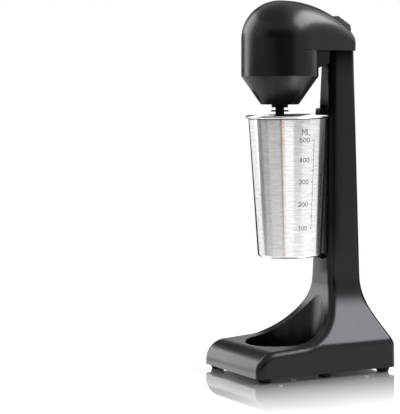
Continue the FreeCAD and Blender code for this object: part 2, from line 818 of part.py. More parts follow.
def cup_trigger():
    """Hook over the cup's rim, on a slider inside the column."""
    slider_front, slider_back = trigger_faces()
    low = rim_z + rim_rise() + gap
    top = rim_z + trigger_height
    lip_back = bead_y() - rim_bead_radius - trigger_lip_gap
    lip_front = lip_back - trigger_lip_thickness
    front = lip_front + 0.6
    back = column_front(rim_z) - gap
    side = [(lip_front, rim_z - trigger_lip, 0.8), (front + 0.8, top - 0.2, 2.0), (back, top, 0),
            (back, low, 0), (lip_back, low, 0.4), (lip_back, rim_z - trigger_lip, 0.8)]
    nose = prism_x(outline(side, in_yz), trigger_nose_width / 2)
    nose = nose.makeFillet(0.9, [edge for edge in nose.Edges if edge.BoundBox.XLength < 0.01
                                 and edge.BoundBox.YMax < front + 2.0 and edge.BoundBox.ZMax > rim_z + 0.5])
    hook = nose.fuse(trigger_shoulders(low, top, back))
    neck_half = slot_half - 0.4
    neck = box(-neck_half, neck_half, back - 1, slider_front + 1, rim_z + 1.2, top - 0.2)
    slider = box(-slider_half, slider_half, slider_front, slider_back, rim_z - slider_drop, rim_z + slider_rise)
    seat = rod(spring_pin, -spring_side, (slider_front + slider_back) / 2, rim_z + slider_rise,
               rim_z + slider_rise + 3.0)
    return fuse(hook, neck, slider, seat)


def trigger_shoulders(low, top, back):
    """Flare of the hook against the column, with round upper corners."""
    nose = trigger_nose_width / 2
    half = trigger_width / 2
    plan = [(-half, back, 0), (-half, back - 1.4, 0.8), (-nose + 0.5, back - 3.4, 0), (nose - 0.5, back - 3.4, 0),
            (half, back - 1.4, 0.8), (half, back, 0)]
    face = [(-half, low, 0), (-half, top - 0.1, trigger_shoulder_round),
            (half, top - 0.1, trigger_shoulder_round), (half, low, 0)]
    return prism_z(outline(plan, in_xy), low, top).common(prism_y(outline(face, in_xz), back - 5, back + 1))


def trigger_guide():
    """Channel inside the column that the slider runs in, with the spring's abutment on top."""
    slider_front, slider_back = trigger_faces()
    low = rim_z - slider_drop - 6.0
    high = guide_top()
    front = column_front(high + 2.2) + wall + 0.1
    back = slider_back + gap
    outer = slider_half + gap + 2.0
    inner = slider_half + gap
    rails = [box(-outer, -inner, front, back + 2.2, low, high + 2.2),
             box(inner, outer, front, back + 2.2, low, high + 2.2)]
    plate = box(-outer, outer, back, back + 2.2, low, high + 2.2)
    cap = box(-outer, outer, front, back + 2.2, high, high + 2.2)
    middle = (slider_front + slider_back) / 2
    cap = cap.cut(rod(plunger_radius + gap, spring_side, middle, high - 1, high + 4))
    pin = rod(spring_pin, -spring_side, middle, high - 3.0, high)
    side = column_half(high + 2.2) - wall - 0.1
    return fuse(*rails, plate, cap, pin).common(box(-side, side, -200, 200, 0, height))


def trigger_spring():
    slider_front, slider_back = trigger_faces()
    low = rim_z + slider_rise
    length = guide_top() - low - 2 * spring_wire
    helix = Part.makeHelix(length / 5.5, length, spring_coil)
    profile = Part.Wire(Part.makeCircle(spring_wire, V(spring_coil, 0, 0), V(0, 1, 0)))
    body = Part.Wire(helix.Edges).makePipeShell([profile], True, True)
    body.translate(V(-spring_side, (slider_front + slider_back) / 2, low + spring_wire))
    return body


def microswitch():
    slider_front, slider_back = trigger_faces()
    middle = (slider_front + slider_back) / 2
    low = guide_top() + 2.2
    high = low + 18.0
    front = column_front(high + 4.5) + wall + 0.3
    body = box(-5.0, 8.0, front, front + 9.0, low, high)
    body = body.cut(rod(plunger_radius + gap, spring_side, middle, low - 1, low + 8.0))
    tabs = [box(x - 0.4, x + 0.4, middle + 1, middle + 5, high, high + 4.5) for x in (-3.0, 1.5, 6.0)]
    plunger = rod(plunger_radius, spring_side, middle, rim_z + slider_rise, low + 4.0)
    return fuse(body, *tabs), plunger


# ---------------------------------------------------------------- switch on the arm
def switch_frame():
    """Height and slope, in degrees, of the arm's crest at the switch."""
    run = switch_back - crest_start
    return crest(switch_back, 0), math.degrees(math.asin(run / crest_radius))


def on_crest(solid):
    """Moves a solid from the switch's own frame, up off the crest, to the arm."""
    z, slope = switch_frame()
    solid.rotate(V(0, 0, 0), V(1, 0, 0), -slope)
    solid.translate(V(0, spindle_y + switch_back, z))
    return solid


def switch_opening(extra, low, high):
    """Upright block in the switch's frame, larger than the rocker by extra all round."""
    half = rocker_width / 2 + gap + extra
    length = rocker_length / 2 + rocker_end_gap + extra
    return box(-half, half, -length, length, low, high)


def switch_bezel():
    """Frame round the rocker that follows the arm's crest."""
    half = rocker_width / 2 + gap + bezel_margin
    length = rocker_length / 2 + rocker_end_gap + bezel_margin
    plan = [(-half, -length, 1.5), (half, -length, 1.5), (half, length, 1.5), (-half, length, 1.5)]
    rim = on_crest(prism_z(outline(plan, in_xy), -12, 12)).common(arm_solid(-bezel_proud))
    rim = rim.cut(arm_solid(0))
    neck = on_crest(switch_opening(bezel_neck, -4.5, 2.0)).common(arm_solid(-bezel_proud / 2))
    return rim.fuse(neck).cut(on_crest(switch_opening(0, -14, 14))).removeSplitter()


def rocked(solid):
    """Tips a solid of the switch's frame about the rocker's pin."""
    solid.rotate(V(0, 0, pivot_depth), V(1, 0, 0), rocker_tilt)
    return on_crest(solid)


def switch_rocker():
    """Raised key with a chamfer at each end; it pivots on a pin across the arm."""
    half = rocker_length / 2
    land = rocker_land / 2
    key = [(-half, -2.0, 0), (-half, -0.2, 0.6), (-land, rocker_proud, 1.0), (land, rocker_proud, 1.0),
           (half, -0.2, 0.6), (half, -2.0, 0), (4.0, -6.0, 1.5), (-4.0, -6.0, 1.5)]
    rocker = prism_x(outline(key, in_yz), rocker_width / 2)
    crown = [edge for edge in rocker.Edges if edge.BoundBox.ZMin > -0.4 and edge.BoundBox.XLength < 0.1]
    rocker = rocker.makeFillet(0.6, crown)
    pin = Part.makeCylinder(pin_radius + journal_clearance, 40, V(-20, 0, pivot_depth), V(1, 0, 0))
    return rocked(rocker.cut(pin))


def rocker_pin():
    half = rocker_width / 2 + gap
    return on_crest(Part.makeCylinder(pin_radius, 2 * half, V(-half, 0, pivot_depth), V(1, 0, 0)))


def switch_body():
    half = rocker_width / 2 + gap + bezel_neck
    length = rocker_length / 2 - 1.0
    body = box(-half, half, -length, length, -switch_depth - 4.6, -8.6)
    cheeks = [box(x0, x1, -4.0, 4.0, -8.6, -4.5)
              for x0, x1 in ((-half, -half + bezel_neck), (half - bezel_neck, half))]
    tabs = [box(-2.4, 2.4, y - 0.4, y + 0.4, -switch_depth - 7.6, -switch_depth - 4.6) for y in (-7, 0, 7)]
    return on_crest(fuse(body, *cheeks, *tabs))


# ---------------------------------------------------------------- base and small parts
def foot_places():
    x = base_width / 2 - foot_side_inset
    rows = {"front": front_y + foot_front_inset, "middle": 0.0, "rear": back_y - foot_back_inset}
    return {"foot_%s_%s" % (row, side): (sign * x, y)
            for row, y in rows.items() for side, sign in (("left", -1), ("right", 1))}


def rubber_foot(x, y):
    spigot = spigot_radius
    points = [(0, 0, 0), (foot_toe_radius, 0, 0.8), (foot_radius, foot_height, 0), (spigot, foot_height, 0),
              (spigot, plate_top, 0), (spigot + 0.8, plate_top, 0), (spigot - 0.4, plate_top + 2.0, 0),
              (0, plate_top + 2.0, 0)]
    return turned(points, x, y)


def base_plate():
    inset = wall + fit
    half = base_width / 2 - inset
    r = edge_round - wall
    points = [(-half, front_y + inset, r), (half, front_y + inset, r), (half, back_y - inset, r),
              (-half, back_y - inset, r)]
    plate = prism_z(outline(points, in_xy), foot_height, plate_top)
    for x, y in foot_places().values():
        plate = plate.cut(rod(spigot_radius, x, y, 0, plate_top + 1))
    for x, y in boss_places() + ballast_screw_places():
        plate = plate.cut(rod(screw_radius + 0.2, x, y, 0, plate_top + 1))
    return plate


def ballast_screw_places():
    return [(-30.0, spindle_y), (30.0, spindle_y)]


def ballast_plate():
    points = [(-42, front_y + 26, 6), (42, front_y + 26, 6), (42, 24, 6), (-42, 24, 6)]
    plate = prism_z(outline(points, in_xy), plate_top, plate_top + ballast_thickness)
    for x, y in ballast_screw_places():
        plate = plate.cut(rod(screw_radius, x, y, 0, plate_top + ballast_thickness + 1))
    return plate


def sunk_screw(x, y, length):
    """Screw whose head sits in the underside of the base plate."""
    return pan_screw(x, y, foot_height, length)


def cable_grommet():
    """Rubber bush in the back of the base that the mains lead passes through."""
    inner = back_y - wall
    flange = grommet_radius + 1.8
    profile = [(cord_hole_radius, inner - 2.2), (flange, inner - 2.2), (flange, inner - 0.1),
               (grommet_radius, inner - 0.1), (grommet_radius, back_y + 0.0), (cord_hole_radius, back_y + 0.0)]
    face = outline([(r, h, 0) for r, h in profile], in_xz)
    solid = face.revolve(V(0, 0, 0), axis, 360)
    solid.rotate(V(0, 0, 0), V(1, 0, 0), -90)
    solid.translate(V(0, 0, grommet_height))
    return solid


def terminal_block():
    low = plate_top
    block = box(-12, 12, 42, 54, low, low + 10)
    for x in (-7.5, 0, 7.5):
        block = block.cut(rod(1.8, x, 48, low + 5, low + 11))
    return block


def speed_board():
    board = box(-board_half, board_half, board_y, board_y + board_thickness, board_z, board_z + board_height)
    for x, z in board_posts():
        board = board.cut(Part.makeCylinder(1.1, 10, V(x, board_y - 4, z), V(0, 1, 0)))
    return board


def board_components():
    capacitor = Part.makeCylinder(4.5, 9.0, V(-3.5, board_y, board_z + 18), V(0, -1, 0))
    rectifier = box(-6, 6, board_y - 4, board_y, board_z + 27, board_z + 37)
    relay = box(-7, 5, board_y - 8, board_y, board_z + 40, board_z + 52)
    return compound([capacitor, rectifier, relay])


def board_screws():
    shapes = []
    for x, z in board_posts():
        head = Part.makeCylinder(2.0, 1.4, V(x, board_y, z), V(0, -1, 0))
        shapes.append(head.fuse(Part.makeCylinder(1.0, 5.0, V(x, board_y, z), V(0, 1, 0))).removeSplitter())
    return compound(shapes)


def supply_lead():
    """Inner lead from the terminal block up the column to the board, in straight runs and arcs."""
    y0 = 50.0
    top = board_z + 6.0
    start = V(0, y0, plate_top + 10.0)
    turn = V(0, y0, 40.0)
    climb = V(0, board_y - 8.0, 80.0)
    end = V(0, board_y - 8.0, top)
    a0, a1, a2 = corner_arc(turn, start, climb, 18.0)
    b0, b1, b2 = corner_arc(climb, turn, end, 18.0)
    route = [Part.makeLine(start, a0), Part.Arc(a0, a1, a2).toShape(), Part.makeLine(a2, b0),
             Part.Arc(b0, b1, b2).toShape(), Part.makeLine(b2, end)]
    profile = Part.Wire(Part.makeCircle(1.8, start, V(0, 0, 1)))
    return Part.Wire(route).makePipeShell([profile], True, False)


def build():
    save("stand_housing", stand_housing())
    save("base_plate", base_plate())
    save("ballast_plate", ballast_plate())
    save("base_screws", compound([sunk_screw(x, y, 9.0) for x, y in boss_places()]))
    save("ballast_screws", compound([sunk_screw(x, y, 7.5) for x, y in ballast_screw_places()]))
    for name, (x, y) in foot_places().items():
        save(name, rubber_foot(x, y))
    save("cable_grommet", cable_grommet())
    save("terminal_block", terminal_block())
    save("speed_board", speed_board())
    save("board_components", board_components())
    save("board_screws", board_screws())
    save("supply_lead", supply_lead())

    save("head_housing", head_housing())
    save("arm_cover", arm_cover())
    save("motor_cone", motor_cone())
    save("neck_collar", neck_collar())
    save("column_screws", compound([pan_screw(x, y, arm_z + cover_thickness, 11.0, False)
                                    for x, y in column_screw_places()]))
    save("cover_screws", compound([pan_screw(x, y, arm_z + cover_pad, 8.0) for x, y in cover_screw_places()]))
    for name, shape in motor_parts().items():
        save(name, shape)
    low = cone_z + screw_head_height + 0.2
    save("cone_screws", compound([pan_screw(x, y, low, motor_z + 1.6 - low) for x, y in cone_screw_places()]))
    save("motor_screws", compound([pan_screw(x, y, motor_plate_z(), 10.0) for x, y in motor_boss_places()]))
    save("carbon_brushes", brushes())
    save("brush_holders", brush_holders())
    save("armature", laminated_rotor())
    save("commutator", ring(commutator_radius, shaft_radius, 0, spindle_y, motor_top - 14.0, motor_top - 5.0))
    save("cooling_fan", cooling_fan())
    save("spindle_shaft", spindle_shaft())
    save("spindle_sleeve", spindle_sleeve())
    save("splash_disc", splash_disc())
    save("agitator_rod", agitator_rod())
    for name, shape in whisk_discs().items():
        save(name, shape)

    save("mixing_cup", mixing_cup())
    save("cup_trigger", cup_trigger())
    save("trigger_guide", trigger_guide())
    save("trigger_spring", trigger_spring())
    body, plunger = microswitch()
    save("microswitch", body)
    save("microswitch_plunger", plunger)
    save("switch_bezel", switch_bezel())
    save("switch_rocker", switch_rocker())
    save("rocker_pin", rocker_pin())
    save("switch_body", switch_body())


build()
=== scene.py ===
"""Looks of the milkshake mixer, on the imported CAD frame. Metres, +Z up, the cup faces -Y."""
import math

import bpy
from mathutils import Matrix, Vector
from mathutils.bvhtree import BVHTree


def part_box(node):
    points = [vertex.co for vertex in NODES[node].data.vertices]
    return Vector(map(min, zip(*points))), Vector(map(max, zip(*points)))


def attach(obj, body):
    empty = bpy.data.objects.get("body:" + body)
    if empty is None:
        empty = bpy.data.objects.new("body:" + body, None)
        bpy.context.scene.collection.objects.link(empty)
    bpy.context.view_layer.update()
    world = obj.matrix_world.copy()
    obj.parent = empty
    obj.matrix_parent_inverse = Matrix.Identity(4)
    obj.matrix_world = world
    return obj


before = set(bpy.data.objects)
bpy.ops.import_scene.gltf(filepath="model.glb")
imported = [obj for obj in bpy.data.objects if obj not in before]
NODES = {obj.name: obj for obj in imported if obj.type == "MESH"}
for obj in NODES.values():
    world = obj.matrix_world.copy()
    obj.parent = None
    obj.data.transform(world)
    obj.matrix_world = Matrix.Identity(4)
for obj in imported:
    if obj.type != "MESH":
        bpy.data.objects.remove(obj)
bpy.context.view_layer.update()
scene = bpy.context.scene
scene.view_settings.view_transform = "Standard"

# The cup, hung in place
CUP_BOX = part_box("mixing_cup")
CUP_FOOT, CUP_TOP = CUP_BOX[0].z, CUP_BOX[1].z
CUP_Y = (CUP_BOX[0].y + CUP_BOX[1].y) / 2
RIM_HEIGHT = 0.0041
RIM_LOW = CUP_TOP - RIM_HEIGHT   # lower edge of the rolled rim, at the cup's axis
RIM_SLOPE = 0.0192               # rise of the rim per metre of Y, because the hung cup leans

# Scale on the cup. Rises are above its foot, arcs are degrees round it from +X, and half is half the
# width of a stroke
MARK_RISES = {100: 0.032772, 200: 0.057972, 300: 0.081772, 400: 0.104672, 500: 0.125472}
MARK_RADIUS = 0.0395
MARK_PROUD = 0.00005
ONE_DEGREE = MARK_RADIUS * math.pi / 180
LINE_ARC, LINE_HALF = 13.0, 0.00022
TICK_ARC, TICK_HALF = 3.6, 0.00034
SMALL_TICK_ARC, SMALL_TICK_HALF = 2.6, 0.00032
NUMBER = {"arc": -12.0, "width": 0.0030, "height": 0.0043, "half": 0.00030}
UNIT = {"arc": -8.5, "width": 0.0042, "height": 0.0062, "half": 0.00032}
UNIT_RISE = 0.134172
LETTER_PITCH = 1.35   # in letter widths

# Strokes of each letter, in shares of its width and height
STROKES = {
    "0": [[(0.5, 1.0), (0.15, 0.85), (0.0, 0.5), (0.15, 0.15), (0.5, 0.0), (0.85, 0.15), (1.0, 0.5),
           (0.85, 0.85), (0.5, 1.0)]],
    "1": [[(0.2, 0.78), (0.55, 1.0), (0.55, 0.0)]],
    "2": [[(0.0, 0.8), (0.25, 1.0), (0.75, 1.0), (1.0, 0.78), (0.9, 0.52), (0.0, 0.0), (1.0, 0.0)]],
    "3": [[(0.0, 0.86), (0.3, 1.0), (0.75, 1.0), (0.98, 0.78), (0.8, 0.54), (0.4, 0.52)],
          [(0.8, 0.54), (1.0, 0.26), (0.75, 0.0), (0.3, 0.0), (0.0, 0.14)]],
    "4": [[(0.75, 0.0), (0.75, 1.0), (0.0, 0.3), (1.0, 0.3)]],
    "5": [[(0.95, 1.0), (0.12, 1.0), (0.05, 0.55), (0.5, 0.62), (0.9, 0.48), (1.0, 0.27), (0.75, 0.02),
           (0.3, 0.0), (0.0, 0.14)]],
    "M": [[(0.0, 0.0), (0.0, 1.0), (0.5, 0.35), (1.0, 1.0), (1.0, 0.0)]],
    "L": [[(0.0, 1.0), (0.0, 0.0), (0.85, 0.0)]],
}

# Painted shade on the stand: where its gloss is taken down as if shaded by the cup and the arm, and the
# share that it loses
CUP_SHADE_HEIGHTS = (0.12, 0.155)    # the loss behind the cup grows between these, from its foot upwards
CUP_SHADE_DEPTHS = (0.033, 0.041)    # and fades between these, going back along +Y
CUP_SHADE = 0.62
ARM_SHADE_HEIGHTS = (0.318, 0.343)   # the loss under the arm grows between these
ARM_SHADE = 0.85

# Finishes: noise scales are per metre
PLASTIC_IOR, RUBBER_IOR = 1.48, 1.5
SHEEN_ROUGH = 0.3
COOL_GLOSS = (0.90, 0.91, 1.0, 1)     # tint of the black plastic's highlights
CLOUD_SCALE, CLOUD_ROUGH = 14.0, 0.025   # broad patches, a little rougher or smoother
SATIN_BLACK = (0.0028, 0.0028, 0.0038)

# Camera
CAMERA_PLACE = (1.48836, -0.89531, 0.30233)
CAMERA_TILT, CAMERA_TURN = 85.85, 60.75
CAMERA_LENS, CAMERA_SENSOR = 140.67, 36.0
CAMERA_SHIFT = -0.1208
CAMERA_CLIP = (0.05, 50.0)

# Studio
WHITE = (1, 1, 1)
ROOM_COLOUR, ROOM_LEVEL = (0.97, 0.98, 1.0, 1), 0.40
SOFTBOX_AIM = Vector((0, -0.02, 0.2))   # a point in the cup
SOFTBOX_DISTANCE = 1.5
CARD_Y = -0.015   # the curved cards stand round an upright axis here, near the cup's
CARD_STEP = 3     # degrees of a card per flat face
FLOOR_HALF, FLOOR_DROP = 6.0, 0.0003
FLOOR_SPREAD = 0.185            # width of the glossy floor round the base
FLOOR_FADE = (0.30, 0.75)       # distances between which the floor fades into the background
GLOSS_COLOUR, GLOSS_GLOW = (0.09, 0.09, 0.09, 1), 0.03
MIRROR_COLOUR = (0.88, 0.88, 0.88, 1)
PLAIN_COLOUR, PLAIN_GLOW = (0.60, 0.60, 0.60, 1), 0.42

# Name, azimuth from +X and elevation in degrees, width, height, radiance
SOFTBOXES = [
    ("softbox_left", -148, 18, 1.0, 1.5, 3.6),
    ("softbox_top_right", 65, 50, 1.4, 0.85, 8.4),
]

# Bright cards and dark flags: name, first and last azimuth from +X in degrees, radius, lowest and highest
# point, level of glow, and a tint where it isn't white
CARDS = [
    # Round the right and the front: light low down for the base, dark above it for the column and head
    ("card_right", 8, 74, 0.55, 0.0, 0.17, 1.05),
    ("flag_right", 12, 80, 1.5, 0.1, 0.9, 0.76),
    ("card_front_low", -43, 8, 0.55, 0.0, 0.11, 1.2),
    ("flag_camera_side", -75, 12, 1.5, 0.12, 1.12, 0.01),
    # Side by side round the front left, for the bands down the cup
    ("card_warm", -47.0, -43.0, 0.5, 0.0, 0.35, 1.3, (1.0, 0.74, 0.48)),
    ("flag_line", -51.5, -47.0, 0.5, 0.0, 0.35, 0.05),
    ("card_front_left", -90, -51.5, 0.5, 0.0, 0.4, 0.58),
    ("card_front_grey", -103, -90, 0.5, 0.0, 0.4, 0.40),
    ("card_front_dim", -113, -103, 0.5, 0.0, 0.4, 0.42),
    ("flag_gap", -133, -113, 0.5, 0.0, 0.35, 0.13),
    # Close round the cup and the cone
    ("card_cup_left", 217, 252, 0.062, 0.10, 0.29, 0.95),
    ("flag_cup_left", 178, 217, 0.062, 0.10, 0.29, 0.01),
    ("card_cup_bright", -38.5, -17, 0.10, 0.10, 0.30, 1.15),
    ("flag_cone", -85, 22, 0.075, 0.268, 0.30, 0.05),
    # Dark places: the column's front, the rim's far outline, and behind the object
    ("flag_column_front", -180, -152, 0.45, 0.22, 0.42, 0.02),
    ("flag_rim_far", 60, 240, 0.052, 0.2735, 0.292, 0.02),
    ("flag_right_back", 76, 122, 0.5, 0.0, 0.30, 0.02),
    ("flag_back_high", 124, 178, 1.6, 0.52, 1.5, 0.10),
]
CEILING_HALF, CEILING_HEIGHT, CEILING_LEVEL = 1.1, 1.5, 0.55


# ---------------------------------------------------------------- node trees
class Tree:
    """The node tree of a material or a world, built up with short calls."""

    def __init__(self, owner):
        owner.use_nodes = True
        self.owner = owner
        self.nodes = owner.node_tree.nodes
        self.links = owner.node_tree.links
        self.shader = self.nodes.get("Principled BSDF")   # a world has none

    def node(self, kind, **values):
        """New node, with its settings and its sockets' own values by name."""
        made = self.nodes.new(kind)
        for key, value in values.items():
            if hasattr(made, key):
                setattr(made, key, value)
            else:
                made.inputs[key.replace("_", " ")].default_value = value
        return made

    def link(self, source, target):
        self.links.new(source, target)

    def set(self, **values):
        """Plain values on the main shader's sockets."""
        for key, value in values.items():
            self.shader.inputs[key.replace("_", " ")].default_value = value

    def feed(self, socket, source):
        """A socket of the main shader, from another node."""
        self.link(source, self.shader.inputs[socket])

    def math(self, operation, a, b=None):
        made = self.node("ShaderNodeMath", operation=operation)
        for socket, value in zip(made.inputs, (a, b)):
            if value is None:
                continue
            if isinstance(value, (int, float)):
                socket.default_value = value
            else:
                self.link(value, socket)
        return made.outputs[0]

    def times(self, a, b):
        return self.math("MULTIPLY", a, b)

    def minus(self, a, b):
        return self.math("SUBTRACT", a, b)

    def ramp(self, source, low, high):
        """Straight run between two stops, each a place on the source and a number or colour."""
        made = self.node("ShaderNodeValToRGB")
        for element, (place, value) in zip(made.color_ramp.elements, (low, high)):
            element.position = place
            element.color = (value, value, value, 1) if isinstance(value, (int, float)) else (*value, 1)
        self.link(source, made.inputs[0])
        return made.outputs[0]

    def position(self):
        """Point of the surface at rest, in the row frame."""
        return self.node("ShaderNodeTexCoord").outputs["Object"]

    def split(self, vector):
        """X, Y and Z of a vector."""
        made = self.node("ShaderNodeSeparateXYZ")
        self.link(vector, made.inputs[0])
        return made.outputs

    def stretch(self, vector, scale):
        made = self.node("ShaderNodeMapping", Scale=scale)
        self.link(vector, made.inputs["Vector"])
        return made.outputs[0]

    def noise(self, vector, scale, detail, rough=0.5):
        made = self.node("ShaderNodeTexNoise", Scale=scale, Detail=detail, Roughness=rough)
        self.link(vector, made.inputs["Vector"])
        return made.outputs["Fac"]

    def scratches(self, angle, z, round_scale, level_scale):
        """Noise drawn out round an axis, for marks that run level."""
        join = self.node("ShaderNodeCombineXYZ")
        self.link(self.times(angle, round_scale), join.inputs["X"])
        self.link(self.times(z, level_scale), join.inputs["Y"])
        return self.noise(join.outputs[0], 1.0, 3.0, 0.65)

    def bump(self, height, distance, strength):
        made = self.node("ShaderNodeBump", Distance=distance, Strength=strength)
        self.link(height, made.inputs["Height"])
        self.feed("Normal", made.outputs[0])

    def darken(self, colour, share):
        """The colour, taken down to black by a share."""
        made = self.node("ShaderNodeMix", data_type="RGBA", blend_type="MULTIPLY")
        sockets = {socket.identifier: socket for socket in (*made.inputs, *made.outputs)}
        self.link(share, sockets["Factor_Float"])
        self.link(colour, sockets["A_Color"])
        sockets["B_Color"].default_value = (0.0, 0.0, 0.0, 1)
        return sockets["Result_Color"]

    def add(self, a, b):
        """Two shaders on top of each other."""
        made = self.node("ShaderNodeAddShader")
        self.link(a, made.inputs[0])
        self.link(b, made.inputs[1])
        return made.outputs[0]

    def add_glow(self, surface, strength):
        """Surface with a white glow on top."""
        glow = self.node("ShaderNodeEmission")
        self.link(strength, glow.inputs["Strength"])
        return self.add(surface, glow.outputs[0])

    def mix(self, share, a, b):
        made = self.node("ShaderNodeMixShader")
        for source, socket in zip((share, a, b), made.inputs):
            self.link(source, socket)
        return made.outputs[0]

    def background_ray(self):
        """1 for rays that show the background: seen, in a reflection or through something clear."""
        path = self.node("ShaderNodeLightPath").outputs
        seen = self.math("MAXIMUM", path["Is Camera Ray"], path["Is Glossy Ray"])
        return self.math("MAXIMUM", seen, path["Is Transmission Ray"])


def new_material(name):
    return Tree(bpy.data.materials.new(name))


# ---------------------------------------------------------------- materials
def moulded(name, colour, rough, grain=900.0, depth=0.00004, shine=0.36, bloom=0.0, shelter_shade_painted=False):
    """Moulded plastic with a fine spark-eroded grain. Bloom is a soft sheen at its edges. With painted
    shade on, its gloss is taken down behind the cup and under the arm, standing in for their shadow.
    """
    t = new_material(name)
    p = t.position()
    t.set(Base_Color=(*colour, 1), IOR=PLASTIC_IOR, Specular_IOR_Level=shine, Specular_Tint=COOL_GLOSS,
          Sheen_Weight=bloom, Sheen_Roughness=SHEEN_ROUGH)
    clouds = t.noise(p, CLOUD_SCALE, 3.0)
    t.feed("Roughness", t.ramp(clouds, (0.3, rough - CLOUD_ROUGH), (0.7, rough + CLOUD_ROUGH)))
    t.bump(t.noise(p, grain, 3.0, 0.6), depth, 0.6)
    # painted shade: gloss taken down behind the cup and under the arm
    if shelter_shade_painted:
        shelter(t, p, shine)
    return t.owner


def shelter(t, p, shine):
    """Painted shade: duller gloss where the column stands behind the cup and close under the arm, standing
    in for the shadow there.
    """
    _, y, z = t.split(p)
    (low, high), (front, back) = CUP_SHADE_HEIGHTS, CUP_SHADE_DEPTHS
    behind_cup = t.times(t.ramp(z, (low, 0.0), (high, 1.0)), t.ramp(y, (front, CUP_SHADE), (back, 0.0)))
    low, high = ARM_SHADE_HEIGHTS
    under_arm = t.ramp(z, (low, 0.0), (high, ARM_SHADE))
    kept = t.times(t.minus(1.0, behind_cup), t.minus(1.0, under_arm))
    t.feed("Specular IOR Level", t.times(kept, shine))


def rubber(name, colour):
    """Matt rubber, worn a little paler in places."""
    t = new_material(name)
    p = t.position()
    worn = tuple(c * 1.7 for c in colour)
    t.feed("Base Color", t.ramp(t.noise(p, 60.0, 4.0), (0.3, colour), (0.75, worn)))
    t.set(Roughness=0.72, IOR=RUBBER_IOR, Specular_IOR_Level=0.12)
    t.bump(t.noise(p, 1500.0, 2.0), 0.00005, 0.5)
    return t.owner


def metal(name, colour, rough, grain=(900.0, 900.0, 900.0), depth=0.00001):
    """Metal with fine marks; a grain longer in one direction reads as brushing or turning."""
    t = new_material(name)
    marks = t.noise(t.stretch(t.position(), grain), 1.0, 3.0, 0.6)
    dull = tuple(c * 0.88 for c in colour)
    t.set(Metallic=1.0)
    t.feed("Base Color", t.ramp(marks, (0.25, dull), (0.75, colour)))
    t.feed("Roughness", t.ramp(marks, (0.25, rough + 0.07), (0.75, rough - 0.04)))
    t.bump(marks, depth, 0.5)
    return t.owner


def brushed_cup(name):
    """Stainless steel brushed round the cup, with fine level scratches and a polished rolled rim. A
    painted shadow darkens a thin band under the rim, and painted shade darkens a thin band round the foot.
    """
    # heights of the painted shadow band under the rim and of the painted shade band at the foot, and how
    # far they darken the steel
    rim_shadow_height, foot_shade_height, painted_shade_depth = 0.0011, 0.0014, 0.8
    t = new_material(name)
    x, y, z = t.split(t.position())
    angle = t.math("ARCTAN2", t.minus(y, CUP_Y), x)
    fine, long = t.scratches(angle, z, 5.0, 1500.0), t.scratches(angle, z, 2.0, 650.0)
    marks = t.math("ADD", t.times(fine, 0.5), t.times(long, 0.5))
    level = t.minus(z, t.times(t.minus(y, CUP_Y), RIM_SLOPE))
    rim = t.math("GREATER_THAN", level, RIM_LOW)
    # painted shadow under the rolled rim, and painted shade at the foot
    painted_rim_shadow = t.minus(t.math("GREATER_THAN", level, RIM_LOW - rim_shadow_height), rim)
    foot = t.math("LESS_THAN", level, CUP_FOOT + foot_shade_height)
    steel = t.ramp(marks, (0.34, (0.68, 0.68, 0.69)), (0.62, (0.95, 0.95, 0.95)))
    # both painted bands take the steel's colour down towards black
    painted_shade_bands = t.times(t.math("ADD", painted_rim_shadow, foot), painted_shade_depth)
    t.feed("Base Color", t.darken(steel, painted_shade_bands))
    brushed = t.ramp(marks, (0.3, 0.28), (0.7, 0.20))
    t.feed("Roughness", t.times(brushed, t.minus(1.0, t.times(rim, 0.78))))
    t.set(Metallic=1.0, Anisotropic=0.9, Anisotropic_Rotation=0.25)
    t.feed("Tangent", t.node("ShaderNodeTangent", direction_type="RADIAL", axis="Z").outputs[0])
    t.bump(t.times(marks, t.minus(1.0, rim)), 0.000006, 0.25)
    return t.owner


SATIN = moulded("satin_black_housing", SATIN_BLACK, 0.28)
# the stand's gloss carries painted shade behind the cup and under the arm
STAND = moulded("satin_black_stand", SATIN_BLACK, 0.28, shelter_shade_painted=True)
CONE = moulded("satin_black_cone", SATIN_BLACK, 0.34, shine=0.46, bloom=0.06)
TRIM = moulded("black_trim", (0.0025, 0.0025, 0.003), 0.36, 1500.0, 0.00002, shine=0.20)
ROCKER = moulded("rocker_grey", (0.062, 0.068, 0.074), 0.33, 1500.0, 0.00002)
INNER = moulded("inner_plastic", (0.09, 0.09, 0.10), 0.5, 700.0, 0.00005)
BASE_PLATE = moulded("base_plate_plastic", (0.02, 0.02, 0.021), 0.55, 500.0, 0.00008)
RUBBER = rubber("foot_rubber", (0.003, 0.003, 0.003))
CUP = brushed_cup("cup_brushed_steel")
STEEL = metal("turned_steel", (0.62, 0.62, 0.63), 0.24, (300.0, 300.0, 4000.0))
SCREW = metal("zinc_screw_steel", (0.55, 0.56, 0.58), 0.32)
SHEET = metal("plated_sheet_steel", (0.50, 0.50, 0.52), 0.38, (200.0, 200.0, 200.0))
IRON = metal("laminated_iron", (0.20, 0.20, 0.21), 0.5, (150.0, 150.0, 5000.0), 0.00005)
COPPER = metal("commutator_copper", (0.80, 0.42, 0.26), 0.3, (300.0, 300.0, 3000.0))
CARBON = moulded("carbon_brush", (0.02, 0.02, 0.02), 0.6, 2500.0, 0.00006)
BOARD = moulded("board_laminate", (0.02, 0.16, 0.06), 0.4, 800.0, 0.00002)
LEAD = rubber("lead_sleeving", (0.03, 0.03, 0.035))
ETCHED = rubber("etched_mark", (0.03, 0.03, 0.033))


def paint(material, *names):
    """Gives CAD nodes a material."""
    for name in names:
        materials = NODES[name].data.materials
        materials.clear()
        materials.append(material)


